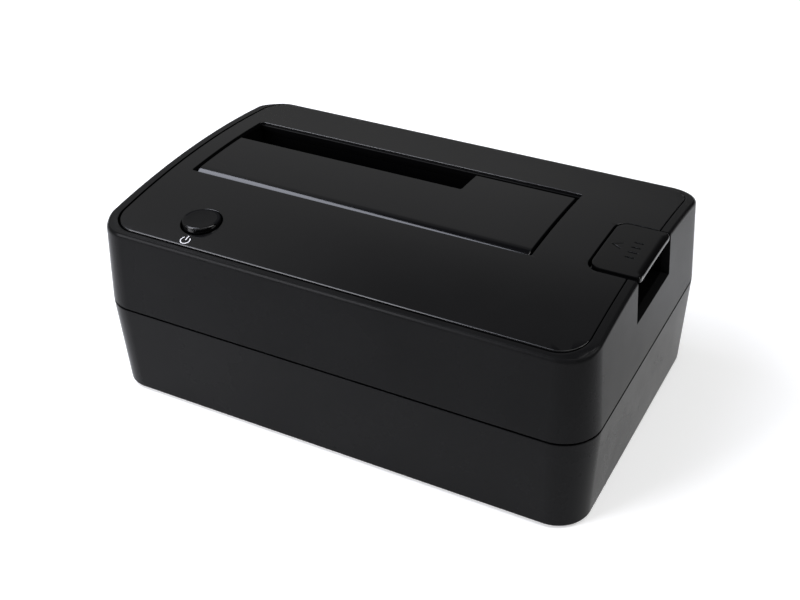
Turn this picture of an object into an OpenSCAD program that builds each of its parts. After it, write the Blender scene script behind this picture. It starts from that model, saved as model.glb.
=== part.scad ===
// Hard drive docking station for 3.5 and 2.5 inch drives.
// +Z is up, the front is -Y, the length runs along X, and the feet stand on z = 0.

/* [Body] */
// Length of the body at the parting line
body_w = 146; // [145:0.25:147]
// Depth of the body at the parting line
body_d = 92.5; // [92:0.25:94]
// Radius of the upright corners at the parting line
corner_r = 10.5; // [9.5:0.25:11]
// Height of the lower shell
base_h = 28; // [27.7:0.1:28.3]
// Height of the arched top's crown above the lower shell's bottom
crown_h = 55.8; // [55.6:0.1:56.2]
// Radius of the arched top
arch_r = 268; // [262:2:280]
// How far the upper walls lean in for each mm of height
upper_lean = 0.064; // [0.06:0.0005:0.068]
// How far the lower walls lean in for each mm of depth
lower_lean = 0.042; // [0.036:0.0005:0.046]
// Wall thickness of both shells
wall_t = 2.3; // [2.1:0.1:2.4]
// Open width of the parting line
seam_gap = 0.5; // [0.3:0.1:0.7]

/* [Top panel] */
// Thickness of the inset panel
panel_t = 1.2; // [1:0.1:1.3]
// Gap round the inset panel
panel_gap = 0.4; // [0.3:0.05:0.45]
// Corner radius of the inset panel
panel_r = 7.2; // [6.6:0.2:7.6]
// Length of the drive slot
slot_l = 105.2; // [104.6:0.1:105.3]

/* [Flap] */
// Radius of the flap's rounded front edge
roll_r = 4.8; // [4.6:0.05:4.8]
// Thickness of the flap
flap_t = 2; // [1.8:0.1:2.1]
// How far the flap's face lies below the panel
flap_drop = 0.25; // [0.2:0.05:0.4]

/* [Power button] */
// Radius of the button cap
cap_r = 5.25; // [5:0.05:5.35]
// How far the cap stands above the panel
cap_proud = 1.1; // [0.9:0.1:1.4]

/* [Feet] */
// Radius of a rubber foot
foot_r = 6; // [5:0.5:7]
// How far a foot stands below the shell
foot_h = 0.9; // [0.8:0.1:1.2]

/* [Hidden] */
$fn = 96;

zb = foot_h;                  // bottom of the lower shell
zs = foot_h + base_h;         // parting line
zt = foot_h + crown_h;        // crown of the arched top
glue = 0.1;                   // film under the inset panel
deck_t = 2.1;                 // deck under the panel
deck_lo = panel_t + glue + deck_t;   // underside of the deck, below the arch

slot_x0 = -62.05;
slot_x1 = slot_x0 + slot_l;
slot_y0 = -11.6;
slot_y1 = 24.6;
panel_x = 68;
panel_y0 = -42.65;
panel_y1 = 42.4;

// inner faces of the well, which show as a thin ledge inside the slot
well_x0 = slot_x0 + 0.3;
well_x1 = slot_x1 - 0.3;
well_y0 = -13.4;
well_y1 = slot_y1 - 0.4;
well_z0 = 12.5;
well_t = 1.6;

flap_y = -8;                  // hinge line of the flap
flap_z = arch_z(flap_y) - flap_drop - roll_r;
flap_x0 = slot_x0 + 1.15;
flap_x1 = slot_x1 - 1.2;
notch_x = 12.2;               // end of the notch for 2.5 inch drives
notch_y = 12;
flap_y1 = 22;

btn = [-44, -32.2];
btn_top = arch_z(btn[1]) + cap_proud;
board_z = 38;                 // underside of the button board
symbol = [-43.6, -40.4];

tab_x0 = 57.65;
tab_x1 = 71.35;
tab_y0 = -10.7;
tab_y1 = 14.1;
cut_x0 = tab_x0 - 0.6;
cut_y0 = tab_y0 - 0.6;
cut_y1 = tab_y1 + 0.35;
sill_z = zs + 14.95;          // bottom of the opening in the right side
piv = [58, zt - 6.9];         // lever pivot, x and z
bar = [49.4, zt - 11.9];      // lever's lifting bar, x and z

pcb_z = 8;                    // underside of the main board
pcb_top = pcb_z + 1.6;
sata = [-29, 18.6];
usb_x = 12;
dc_x = 34;
dc_z = 15.4;

columns = [for (x = [-62.5, 62.5], y = [-36.2, 36.2]) [x, y]];
feet_at = [for (x = [-48, 48], y = [-33, 33]) [x, y]];
pcb_at = [[-53, -26], [44, -26], [-53, 38], [44, 38]];
ears_at = [[-20, -19], [30, -19], [-45, 29.4], [25, 29.4]];
ear_z = 46.5;
posts_at = [[btn[0] - 10.2, btn[1] + 1.2], [btn[0] + 10.2, btn[1] + 1.2]];

function arch_z(y) = zt - arch_r + sqrt(arch_r * arch_r - y * y);
function unit(v) = v / norm(v);

// Everything under the arch, at a given distance below it
module arch(down = 0) {
  translate([0, 0, zt - arch_r]) rotate([0, 90, 0])
    cylinder(r = arch_r - down, h = 220, center = true, $fn = 240);
}

// Rounded block whose walls lean by k per mm of height; its size holds at zr
module lean_block(w, d, r, zr, z0, z1, k) {
  i0 = round(k * (z0 - zr) * 1000) / 1000;
  i1 = round(k * (z1 - zr) * 1000) / 1000;
  translate([0, d / 2 - r, 0]) rotate([90, 0, 0]) linear_extrude(d - 2 * r)
    polygon([[-w / 2 + i0, z0], [w / 2 - i0, z0], [w / 2 - i1, z1], [-w / 2 + i1, z1]]);
  translate([-w / 2 + r, 0, 0]) rotate([90, 0, 90]) linear_extrude(w - 2 * r)
    polygon([[-d / 2 + i0, z0], [d / 2 - i0, z0], [d / 2 - i1, z1], [-d / 2 + i1, z1]]);
  for (x = [-1, 1], y = [-1, 1])
    translate([x * (w / 2 - r), y * (d / 2 - r), z0])
      cylinder(h = z1 - z0, r1 = r - i0, r2 = r - i1);
}

module upper_block(inset, z0, z1)
  lean_block(body_w - 2 * inset, body_d - 2 * inset, corner_r - inset, zs, z0, z1, upper_lean);

module lower_block(inset, z0, z1)
  lean_block(body_w - 2 * inset, body_d - 2 * inset, corner_r - inset, zs, z0, z1, -lower_lean);

// Upright block between two corners
module block(a, b) translate(a) cube(b - a);

// Upright block with round corners in plan
module rbox(x0, x1, y0, y1, z0, z1, r) {
  block([x0 + r, y0, z0], [x1 - r, y1, z1]);
  block([x0, y0 + r, z0], [x1, y1 - r, z1]);
  for (x = [x0 + r, x1 - r], y = [y0 + r, y1 - r])
    translate([x, y, z0]) cylinder(r = r, h = z1 - z0, $fn = 48);
}

// Round bars along X and Y
module bar_x(x0, x1, y, z, r) translate([x0, y, z]) rotate([0, 90, 0]) cylinder(r = r, h = x1 - x0, $fn = 48);
module bar_y(y0, y1, x, z, r) translate([x, y1, z]) rotate([90, 0, 0]) cylinder(r = r, h = y1 - y0, $fn = 48);
module peg(x, y, z0, z1, r) translate([x, y, z0]) cylinder(r = r, h = z1 - z0, $fn = 48);

// Plan of the cut-out for the eject tab, round at its inner corners
module tab_plan(x0, x1, y0, y1, z0, z1, r) {
  rbox(x0, x0 + 9, y0, y1, z0, z1, r);
  block([x0 + r, y0, z0], [x1, y1, z1]);
}

// Wire swept along a list of points; side is a direction never along the wire
module wire(p, r, side, n = 8) {
  m = len(p);
  t = [for (i = [0:m - 1]) unit(p[min(i + 1, m - 1)] - p[max(i - 1, 0)])];
  pts = [for (i = [0:m - 1])
    let(u = unit(cross(t[i], side)), v = cross(t[i], u))
      for (k = [0:n - 1]) p[i] + r * (cos(360 * k / n) * u + sin(360 * k / n) * v)];
  faces = concat(
    [[for (k = [0:n - 1]) k]],
    [[for (k = [n - 1:-1:0]) (m - 1) * n + k]],
    [for (i = [0:m - 2], k = [0:n - 1]) let(k2 = (k + 1) % n)
      [i * n + k, (i + 1) * n + k, (i + 1) * n + k2]],
    [for (i = [0:m - 2], k = [0:n - 1]) let(k2 = (k + 1) % n)
      [i * n + k, (i + 1) * n + k2, i * n + k2]]);
  polyhedron(pts, faces);
}

// Pan-head screw standing on its shank, head down, with a cross recess
module screw(r_head, h_head, r_shank, l_shank) {
  difference() {
    translate([0, 0, -h_head]) cylinder(r = r_head, h = h_head, $fn = 48);
    for (a = [0, 90]) rotate(a)
      translate([-r_head * 0.6, -r_head * 0.12, -h_head - 1]) cube([r_head * 1.2, r_head * 0.24, 1 + h_head * 0.5]);
  }
  cylinder(r = r_shank, h = l_shank, $fn = 48);
}

// ---------------------------------------------------------------- casing

module upper_shell() color([0.13, 0.13, 0.14]) difference() {
  union() {
    difference() {
      intersection() { upper_block(0, zs + seam_gap / 2, zt + 4); arch(); }
      intersection() { upper_block(wall_t, zs - 1, zt + 4); arch(deck_lo); }
    }
    intersection() {
      union() {
        for (c = columns) peg(c[0], c[1], zs + seam_gap / 2, zt, 3.6);
        for (c = ears_at) peg(c[0], c[1], ear_z, zt, 3);
        for (c = posts_at) peg(c[0], c[1], board_z + 1.6, zt, 2.6);
        // cheeks, floor and back of the pocket under the tab
        block([54.6, cut_y0 - 1.6, sill_z - 1.6], [72, cut_y0, zt]);
        block([54.6, cut_y1, sill_z - 1.6], [72, cut_y1 + 1.6, zt]);
        block([60.8, cut_y0 - 1.6, sill_z - 1.6], [72, cut_y1 + 1.6, sill_z]);
        block([60.8, cut_y0 - 1.6, sill_z - 1.6], [62.2, cut_y1 + 1.6, piv[1] - 3.6]);
      }
      arch(deck_lo - 1);
      upper_block(1, zs - 1, zt + 4);
    }
  }
  // seat of the inset panel
  difference() {
    rbox(-panel_x - panel_gap, panel_x + panel_gap, panel_y0 - panel_gap, panel_y1 + panel_gap, sill_z, zt + 6, panel_r + panel_gap);
    arch(panel_t + glue);
  }
  // drive slot
  block([well_x0, well_y0, sill_z], [well_x1, well_y1, zt + 6]);
  // button and light pipe
  peg(btn[0], btn[1], sill_z, zt + 6, cap_r + 0.5);
  peg(symbol[0], symbol[1], sill_z, zt + 6, 1.55);
  // tab cut-out and side opening
  tab_plan(cut_x0, 80, cut_y0, cut_y1, piv[1] + 1, zt + 6, 3.8);
  block([66, cut_y0, sill_z], [80, cut_y1, zt + 6]);
  // rebate that takes the lower shell's lip
  difference() {
    upper_block(wall_t / 2, zs - 2, zs + 2.2);
    for (c = columns) peg(c[0], c[1], zs - 3, zs + 4, 3.6);
  }
  // bores
  for (c = columns) peg(c[0], c[1], zs - 1, zs + 9, 1.25);
  for (c = ears_at) peg(c[0], c[1], ear_z - 1, ear_z + 5.2, 1.05);
  for (c = posts_at) peg(c[0], c[1], board_z, board_z + 8, 0.95);
  bar_y(cut_y0 - 3, cut_y1 + 3, piv[0], piv[1], 1.26);
}

module base_shell() color([0.13, 0.13, 0.14]) difference() {
  union() {
    difference() {
      union() {
        lower_block(0, zb, zs - seam_gap / 2);
        // lip that centres the upper shell
        lower_block(wall_t / 2 + 0.3, zs - 4, zs + 1.8);
      }
      lower_block(wall_t, zb + 2.5, zs + 3);
    }
    for (c = columns) peg(c[0], c[1], zb, zs + seam_gap / 2, 4.2);
    for (c = pcb_at) peg(c[0], c[1], zb + 1, pcb_z, 3.2);
  }
  for (c = columns) {
    peg(c[0], c[1], zb - 1, 18, 3.1);
    peg(c[0], c[1], 17, zs + 2, 1.5);
  }
  for (c = pcb_at) peg(c[0], c[1], zb + 1.5, pcb_z + 1, 1.05);
  for (c = feet_at) peg(c[0], c[1], zb - 1, zb + 0.8, foot_r + 0.2);
  // shallow bare panel on the underside
  rbox(-30, 30, -16, 16, zb - 1, zb + 0.3, 3);
  // port openings in the rear wall
  rbox_y(usb_x - 6.5, usb_x + 6.5, pcb_top - 0.3, pcb_top + 11.3, 40, 50, 0.8);
  bar_y(40, 50, dc_x, dc_z, 4.6);
}

// Block along Y with round corners in elevation
module rbox_y(x0, x1, z0, z1, y0, y1, r)
  translate([0, y1, 0]) rotate([90, 0, 0]) rbox(x0, x1, z0, z1, 0, y1 - y0, r);

module top_panel() color([0.1, 0.1, 0.11]) difference() {
  intersection() {
    rbox(-panel_x, panel_x, panel_y0, panel_y1, sill_z, zt + 6, panel_r);
    arch();
  }
  arch(panel_t);
  rbox(slot_x0, slot_x1, slot_y0, slot_y1, sill_z, zt + 6, 0.6);
  peg(btn[0], btn[1], sill_z, zt + 6, cap_r + 0.45);
  tab_plan(cut_x0, 80, cut_y0, cut_y1, sill_z, zt + 6, 3.8);
}

module rubber_feet() color([0.07, 0.07, 0.07]) for (c = feet_at) translate([c[0], c[1], 0])
  rotate_extrude() polygon([[0, 0], [foot_r - 0.6, 0], [foot_r, 0.6], [foot_r, zb + 0.8], [0, zb + 0.8]]);

module case_screws() color([0.6, 0.61, 0.63]) for (c = columns)
  translate([c[0], c[1], 18]) screw(2.8, 2, 1.2, zs - 11.5);

// ---------------------------------------------------------------- drive well and flap

module drive_well() color([0.09, 0.09, 0.1]) difference() {
  union() {
    intersection() {
      difference() {
        block([well_x0 - well_t, well_y0 - well_t, well_z0], [well_x1 + well_t, well_y1 + well_t, zt + 2]);
        block([well_x0, well_y0, well_z0 + 2], [well_x1, well_y1, zt + 3]);
      }
      arch(deck_lo + 0.2);
    }
    // ears screwed up to the deck
    for (c = ears_at) {
      peg(c[0], c[1], ear_z - 2.5, ear_z, 3.6);
      if (c[1] < 0) block([c[0] - 3.6, c[1], ear_z - 2.5], [c[0] + 3.6, well_y0 - 0.8, ear_z]);
      else block([c[0] - 3.6, well_y1 + 0.8, ear_z - 2.5], [c[0] + 3.6, c[1], ear_z]);
    }
    // rails that guide the lifter
    for (s = [0, 1]) {
      block([well_x1 + well_t - 0.3, s ? 7.1 : -5.8, 22], [well_x1 + well_t + 3.75, s ? 9 : -3.9, 40.5]);
      block([well_x1 + well_t + 2.65, s ? 5.5 : -5.8, 22], [well_x1 + well_t + 3.75, s ? 9 : -2.3, 40.5]);
    }
    // stops under the flap's rolled edge
    for (x = [-42, 20])
      block([x, well_y0 - 0.4, flap_z - 7], [x + 5, well_y0 + 2.6, flap_z - 3.1]);
  }
  bar_x(well_x0 - 4, well_x1 + 4, flap_y, flap_z, 1.01);
  // drive connector comes up through the floor
  block([sata[0] - 21.4, sata[1] - 3.9, well_z0 - 1], [sata[0] + 21.4, sata[1] + 3.9, well_z0 + 3]);
  // foot of the lifter
  block([33.9, -4, well_z0 - 1], [well_x1 + 1, 7.2, well_z0 + 3]);
  block([well_x1 - 1, -4, well_z0 - 1], [well_x1 + well_t + 1, 7.2, 19.6]);
  for (c = ears_at) peg(c[0], c[1], ear_z - 4, ear_z + 1, 1.4);
}

module slot_flap() color([0.15, 0.15, 0.16]) difference() {
  union() {
    difference() {
      intersection() {
        union() {
          block([flap_x0, flap_y, 45], [flap_x1, notch_y, zt + 2]);
          block([notch_x, flap_y, 45], [flap_x1, flap_y1, zt + 2]);
        }
        arch(flap_drop);
      }
      arch(flap_drop + flap_t);
    }
    // rolled front edge
    intersection() {
      difference() {
        bar_x(flap_x0, flap_x1, flap_y, flap_z, roll_r);
        bar_x(flap_x0 - 1, flap_x1 + 1, flap_y, flap_z, roll_r - 1.9);
      }
      translate([flap_x0 - 2, flap_y, flap_z]) rotate([90, 0, 90]) linear_extrude(flap_x1 - flap_x0 + 4)
        polygon([[0.3, 0], [0.3, 12], [-12, 12], [-12, -8.4]]);
    }
    // hinge knuckles
    for (x = [[flap_x0, 2.5], [-11, 2], [-1, 2], [flap_x1 - 2.5, 2.5]])
      bar_x(x[0], x[0] + x[1], flap_y, flap_z, roll_r - 0.1);
    // ribs under the plate
    intersection() {
      union() {
        block([flap_x0 + 1.4, notch_y - 2.2, flap_z + 0.6], [notch_x - 1.2, notch_y - 1, zt]);
        block([notch_x + 1, flap_y1 - 2.2, flap_z + 0.2], [flap_x1 - 1.2, flap_y1 - 1, zt]);
        block([notch_x + 1, 0, flap_z + 1], [notch_x + 2.2, flap_y1 - 1, zt]);
      }
      arch(flap_drop + 0.8);
    }
  }
  bar_x(flap_x0 - 1, flap_x1 + 1, flap_y, flap_z, 1.05);
}

module flap_hinge_pin() color([0.72, 0.73, 0.75])
  bar_x(well_x0 - well_t - 1, well_x1 + well_t + 1, flap_y, flap_z, 1);

// Torsion spring: one leg under the flap, one leg down the well's front wall
module flap_spring() color([0.7, 0.7, 0.72]) {
  turns = 5; per = 12; r = 1.75; x0 = -8.2; x1 = -1.8;
  coil = [for (i = [0:turns * per + 3]) let(a = 90 + 360 * i / per)
    [x0 + (x1 - x0) * i / (turns * per + 3), flap_y + r * cos(a), flap_z + r * sin(a)]];
  wire(concat(
    [[x0, flap_y + 11, flap_z + 2.1], [x0, flap_y + 7, flap_z + 1.9], [x0, flap_y + 3, flap_z + r]],
    coil,
    [[x1, flap_y - r, flap_z - 3], [x1, flap_y - r - 0.9, flap_z - 7], [x1, flap_y - r - 2.6, flap_z - 12]]),
    0.35, [1, 0, 0]);
}

module well_screws() color([0.6, 0.61, 0.63]) for (c = ears_at)
  translate([c[0], c[1], ear_z - 2.5]) screw(2.4, 1.8, 1, 7.2);

// ---------------------------------------------------------------- power button

module power_button() color([0.12, 0.12, 0.13]) translate([btn[0], btn[1], 0]) rotate_extrude() polygon(concat(
  [[0, board_z + 7.5], [2, board_z + 7.5], [2, 48.8], [6.2, 48.8], [6.2, 50], [cap_r, 50]],
  [for (i = [0:6]) [cap_r - 0.9 + 0.9 * cos(15 * i), btn_top - 0.9 + 0.9 * sin(15 * i)]],
  [[0, btn_top]]));

module switch_plunger() color([0.85, 0.85, 0.82]) {
  peg(btn[0], btn[1], board_z + 4.4, board_z + 7.5, 1.6);
  peg(btn[0], btn[1], board_z + 3.8, board_z + 4.4, 2.4);
}

module switch_housing() color([0.2, 0.2, 0.22]) difference() {
  union() {
    block([btn[0] - 4, btn[1] - 4, board_z + 1.6], [btn[0] + 4, btn[1] + 4, board_z + 5.6]);
    peg(btn[0], btn[1], board_z + 5, board_z + 5.7, 3);
  }
  peg(btn[0], btn[1], board_z + 1.9, board_z + 4.7, 2.6);
  peg(btn[0], btn[1], board_z + 4, board_z + 7, 1.68);
}

module switch_spring() color([0.7, 0.7, 0.72]) {
  turns = 4; per = 10;
  wire([for (i = [0:turns * per]) let(a = 360 * i / per)
    [btn[0] + 1.7 * cos(a), btn[1] + 1.7 * sin(a), board_z + 2.15 + 1.4 * i / (turns * per)]], 0.2, [0, 0, 1], 6);
}

module button_board() color([0.05, 0.3, 0.14]) difference() {
  block([btn[0] - 13.5, -41.6, board_z], [btn[0] + 13.5, -21, board_z + 1.6]);
  for (c = posts_at) peg(c[0], c[1], board_z - 1, board_z + 3, 1.2);
}

module button_board_screws() color([0.6, 0.61, 0.63]) for (c = posts_at)
  translate([c[0], c[1], board_z]) screw(2.1, 1.5, 0.9, 7.5);

module status_led() color([0.9, 0.9, 0.85])
  block([symbol[0] - 1.6, symbol[1] - 0.9, board_z + 1.6], [symbol[0] + 1.6, symbol[1] + 1.3, board_z + 3]);

module light_pipe() color([0.85, 0.9, 0.95]) difference() {
  peg(symbol[0], symbol[1], board_z + 3.3, zt, 1.4);
  difference() {
    block([symbol[0] - 3, symbol[1] - 3, board_z + 4], [symbol[0] + 3, symbol[1] + 3, zt + 2]);
    arch(panel_t + 0.3);
  }
}

// ---------------------------------------------------------------- eject lever

module eject_lever() color([0.11, 0.11, 0.12]) difference() {
  union() {
    difference() {
      intersection() {
        tab_plan(tab_x0, tab_x1, tab_y0, tab_y1, sill_z, zt + 2, 3.4);
        arch();
      }
      arch(1.7);
    }
    // skirt that closes the pocket, and two gussets
    intersection() {
      union() {
        block([57.9, tab_y0 + 1.6, piv[1] - 2], [59.7, tab_y1 - 1.6, zt]);
        for (y = [tab_y0 + 0.6, tab_y1 - 1.9]) translate([0, y + 1.3, 0]) rotate([90, 0, 0]) linear_extrude(1.3)
          polygon([[59, piv[1] - 2], [60.5, piv[1] - 2], [69, zt - 2.6], [69, zt], [59, zt]]);
      }
      arch(0.8);
    }
    // pivot barrel, open where the spring sits
    bar_y(tab_y0, 6.4, piv[0], piv[1], 2.6);
    bar_y(11.6, tab_y1, piv[0], piv[1], 2.6);
    // lug that the spring's lower leg bears on
    translate([piv[0], 13.4, piv[1]]) rotate([90, 0, 0]) linear_extrude(1.8)
      polygon([[-5.4, -4], [-5.4, -2.7], [-1.7, -1], [0.4, -2.3]]);
    block([piv[0] - 5.4, 10.2, piv[1] - 4], [piv[0] - 3, 12, piv[1] - 2.7]);
    // arm and lifting bar
    translate([0, 3.6, 0]) rotate([90, 0, 0]) linear_extrude(4)
      polygon([[bar[0] - 0.3, bar[1] - 0.8], [bar[0] - 0.3, bar[1] + 0.8], [piv[0] - 1.5, piv[1] + 1.6],
               [piv[0], piv[1] - 2.2]]);
    bar_y(-3.2, 6.4, bar[0], bar[1], 0.9);
  }
  bar_y(tab_y0 - 1, tab_y1 + 1, piv[0], piv[1], 1.3);
  bar_y(6.4, 11.6, piv[0], piv[1], 2.7);
}

module eject_pivot_pin() color([0.72, 0.73, 0.75])
  bar_y(cut_y0 - 1.6, cut_y1 + 1.6, piv[0], piv[1], 1.25);

// Torsion spring: one leg up to the deck, one leg down on the lever's lug
module eject_spring() color([0.7, 0.7, 0.72]) {
  turns = 5; per = 12; r = 1.95; y0 = 6.9; y1 = 11.1;
  coil = [for (i = [0:turns * per + 6]) let(a = 90 - 360 * i / per)
    [piv[0] + r * cos(a), y0 + (y1 - y0) * i / (turns * per + 6), piv[1] + r * sin(a)]];
  wire(concat(
    [[piv[0] - 6.2, y0, piv[1] + 2.2], [piv[0] - 4, y0, piv[1] + 1.9]],
    coil,
    [[piv[0] - 2, y1, piv[1] - r - 0.1], [piv[0] - 5, y1, piv[1] - r - 0.3]]),
    0.32, [0, 1, 0]);
}

module eject_lifter() color([0.8, 0.8, 0.78]) {
  px0 = well_x1 + well_t + 0.4;
  px1 = px0 + 1.8;
  block([px0, -3.4, well_z0 - 0.2], [px1, 6.6, bar[1] + 2.7]);
  for (y = [-3.4, 4.1]) {
    block([px1 - 0.5, y, bar[1] + 1.3], [bar[0] + 1.8, y + 2.5, bar[1] + 2.7]);
    block([px1 - 0.5, y, bar[1] - 2.8], [bar[0] + 1.8, y + 2.5, bar[1] - 1.3]);
  }
  block([34.5, -3.4, well_z0 - 0.2], [px1, 6.6, well_z0 + 1.7]);
}

// ---------------------------------------------------------------- electronics

module main_board() color([0.05, 0.3, 0.14]) difference() {
  block([-57.5, -30, pcb_z], [48, 42.8, pcb_top]);
  for (c = pcb_at) peg(c[0], c[1], pcb_z - 1, pcb_top + 1, 1.5);
}

module main_board_screws() color([0.6, 0.61, 0.63]) for (c = pcb_at)
  translate([c[0], c[1], pcb_top]) rotate([180, 0, 0]) screw(2.6, 1.8, 1, 6.2);

// 22-way receptacle with a 7-way and a 15-way slot, each with a foot at its outer end
module drive_connector() color([0.08, 0.08, 0.09]) difference() {
  union() {
    rbox(sata[0] - 21, sata[0] + 21, sata[1] - 3.5, sata[1] + 3.5, pcb_top, pcb_top + 5.6, 0.8);
    rbox(sata[0] - 18.6, sata[0] + 18.6, sata[1] - 2.6, sata[1] + 2.6, pcb_top + 5, pcb_top + 11, 0.6);
    for (s = [-1, 1]) block([sata[0] + s * 20 - 0.9, sata[1] - 2.2, pcb_top + 5], [sata[0] + s * 20 + 0.9, sata[1] + 2.2, pcb_top + 9.4]);
  }
  block([sata[0] - 17.6, sata[1] - 0.65, pcb_top + 5], [sata[0] + 4.2, sata[1] + 1.15, pcb_top + 12]);
  block([sata[0] - 17.6, sata[1] - 1.9, pcb_top + 5], [sata[0] - 16.3, sata[1] + 0.4, pcb_top + 12]);
  block([sata[0] + 6.4, sata[1] - 0.65, pcb_top + 5], [sata[0] + 17.6, sata[1] + 1.15, pcb_top + 12]);
  block([sata[0] + 6.4, sata[1] - 1.9, pcb_top + 5], [sata[0] + 7.7, sata[1] + 0.4, pcb_top + 12]);
}

module drive_connector_contacts() color([0.85, 0.68, 0.3]) {
  for (i = [0:14]) pin_at(sata[0] - 15.4 + 1.27 * i);
  for (i = [0:6]) pin_at(sata[0] + 8.9 + 1.27 * i);
}
module pin_at(x) {
  block([x - 0.3, sata[1] + 0.8, pcb_top + 5], [x + 0.3, sata[1] + 1.15, pcb_top + 10.2]);
  block([x - 0.3, sata[1] + 0.5, pcb_top + 8.2], [x + 0.3, sata[1] + 0.9, pcb_top + 9.4]);
}

// Stepped outline of the square USB port, in x and height
function usb_outline(i) = [[-6 + i, i], [6 - i, i], [6 - i, 6.9 - i * 0.4], [4.4 - i, 8.2 - i * 0.4], [4.4 - i, 10.8 - i], [-4.4 + i, 10.8 - i], [-4.4 + i, 8.2 - i * 0.4], [-6 + i, 6.9 - i * 0.4]];

module usb_port_shell() color([0.75, 0.76, 0.78]) translate([usb_x, 45.2, pcb_top]) rotate([90, 0, 0]) difference() {
  linear_extrude(17) polygon(usb_outline(0));
  translate([0, 0, -1]) linear_extrude(17.5) polygon(usb_outline(0.4));
}

module usb_port_insulator() color([0.1, 0.3, 0.75]) translate([usb_x, 0, pcb_top]) {
  translate([0, 33.2, 0]) rotate([90, 0, 0]) linear_extrude(4.3) polygon(usb_outline(0.45));
  block([-2.8, 33, 2.4], [2.8, 43.6, 5.4]);
  block([-3.2, 33, 8.2], [3.2, 43.6, 9.4]);
}

module usb_port_contacts() color([0.85, 0.68, 0.3]) translate([usb_x, 0, pcb_top]) {
  for (x = [-1.25, 1.25]) {
    block([x - 0.45, 34, 5.4], [x + 0.45, 42.8, 5.6]);
    block([x - 0.45, 34, 2.2], [x + 0.45, 42.8, 2.4]);
  }
  for (i = [-2:2]) block([i * 1.1 - 0.25, 34, 8], [i * 1.1 + 0.25, 42.8, 8.2]);
}

module dc_jack_housing() color([0.07, 0.07, 0.08]) difference() {
  union() {
    block([dc_x - 4.6, 31, pcb_top], [dc_x + 4.6, 42.9, pcb_top + 10.6]);
    bar_y(42, 45.2, dc_x, dc_z, 4.3);
  }
  bar_y(34.3, 46, dc_x, dc_z, 3.15);
  bar_y(30, 35, dc_x, dc_z, 1.01);
  block([dc_x - 1.2, 34.3, dc_z - 4.2], [dc_x + 1.2, 42, dc_z - 2]);
}

module dc_jack_pin() color([0.78, 0.79, 0.8]) {
  bar_y(30.6, 43.4, dc_x, dc_z, 1);
  translate([dc_x, 43.3, dc_z]) rotate([-90, 0, 0]) cylinder(r1 = 1, r2 = 0.6, h = 0.7, $fn = 48);
}

module dc_jack_leaf() color([0.8, 0.7, 0.4]) {
  block([dc_x - 0.9, 34.3, dc_z - 4.2], [dc_x + 0.9, 41.6, dc_z - 3.8]);
  block([dc_x - 0.9, 37, dc_z - 4], [dc_x + 0.9, 39, dc_z - 3]);
}

module bridge_chip() color([0.1, 0.1, 0.1]) {
  block([-7, -7, pcb_top + 0.1], [3, 3, pcb_top + 1.2]);
  for (a = [0:3]) translate([-2, -2, 0]) rotate(90 * a)
    for (i = [-5:5]) block([i * 0.8 - 0.15, -5.7, pcb_top], [i * 0.8 + 0.15, -4.6, pcb_top + 0.3]);
}

module regulator_chips() color([0.1, 0.1, 0.1]) for (x = [-12, -3]) {
  block([x - 2.5, -24, pcb_top + 0.1], [x + 2.5, -20, pcb_top + 1.7]);
  for (s = [-1, 1], i = [-1.5:1:1.5]) block([x + i * 1.27 - 0.2, -22 + s * 2.4 - 0.6, pcb_top], [x + i * 1.27 + 0.2, -22 + s * 2.4 + 0.6, pcb_top + 0.5]);
}

module power_inductors() color([0.25, 0.25, 0.26]) for (x = [6, 15]) rbox(x - 3.6, x + 3.6, -26, -18.8, pcb_top, pcb_top + 4, 1);

module capacitors() color([0.15, 0.16, 0.2]) for (x = [25, 34.5]) translate([x, -22.5, pcb_top])
  rotate_extrude() polygon([[0, 0], [4, 0], [4, 1], [3.75, 1.4], [3.75, 1.8], [4, 2.2], [4, 11], [3.6, 11.4], [3.2, 11.2], [0, 11.2]]);

module crystal() color([0.75, 0.75, 0.77]) rbox(6, 11, -4, -0.8, pcb_top, pcb_top + 1, 0.5);

module chip_passives() color([0.6, 0.5, 0.35])
  for (i = [0:5], j = [0:1]) block([-14 + 3.4 * i, 6 + 2.6 * j, pcb_top], [-12 + 3.4 * i, 7.25 + 2.6 * j, pcb_top + 0.8]);

module cable_headers() color([0.9, 0.89, 0.84]) {
  block([btn[0] - 4, -26.4, pcb_top], [btn[0] + 4, -21.8, pcb_top + 5]);
  block([btn[0] - 4, -26.4, board_z - 5], [btn[0] + 4, -21.8, board_z]);
}

// Four conductors between the two headers
module button_cable() color([0.75, 0.1, 0.08]) for (i = [0:3])
  let(x = btn[0] - 2.25 + 1.5 * i, z0 = pcb_top + 5, z1 = board_z - 5)
    wire(concat([[x, -24.1, z0]],
      [for (k = [0:14]) let(s = k / 14) [x, -24.1 - 5 * pow(sin(180 * s), 2), z0 + 0.5 + (z1 - z0 - 1) * s]],
      [[x, -24.1, z1]]), 0.6, [1, 0, 0]);

upper_shell();
base_shell();
top_panel();
drive_well();
slot_flap();
flap_hinge_pin();
flap_spring();
power_button();
switch_plunger();
switch_housing();
switch_spring();
button_board();
button_board_screws();
status_led();
light_pipe();
eject_lever();
eject_pivot_pin();
eject_spring();
eject_lifter();
main_board();
main_board_screws();
drive_connector();
drive_connector_contacts();
usb_port_shell();
usb_port_insulator();
usb_port_contacts();
dc_jack_housing();
dc_jack_pin();
dc_jack_leaf();
bridge_chip();
regulator_chips();
power_inductors();
capacitors();
crystal();
chip_passives();
cable_headers();
button_cable();
well_screws();
case_screws();
rubber_feet();
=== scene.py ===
"""Looks of a drive docking station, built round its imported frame.

Lengths in the modelling code are millimetres; vertices are written in metres.
"""

import math

import bmesh
import bpy
import numpy as np
from mathutils import Matrix, Quaternion, Vector
from mathutils.geometry import delaunay_2d_cdt


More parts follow.
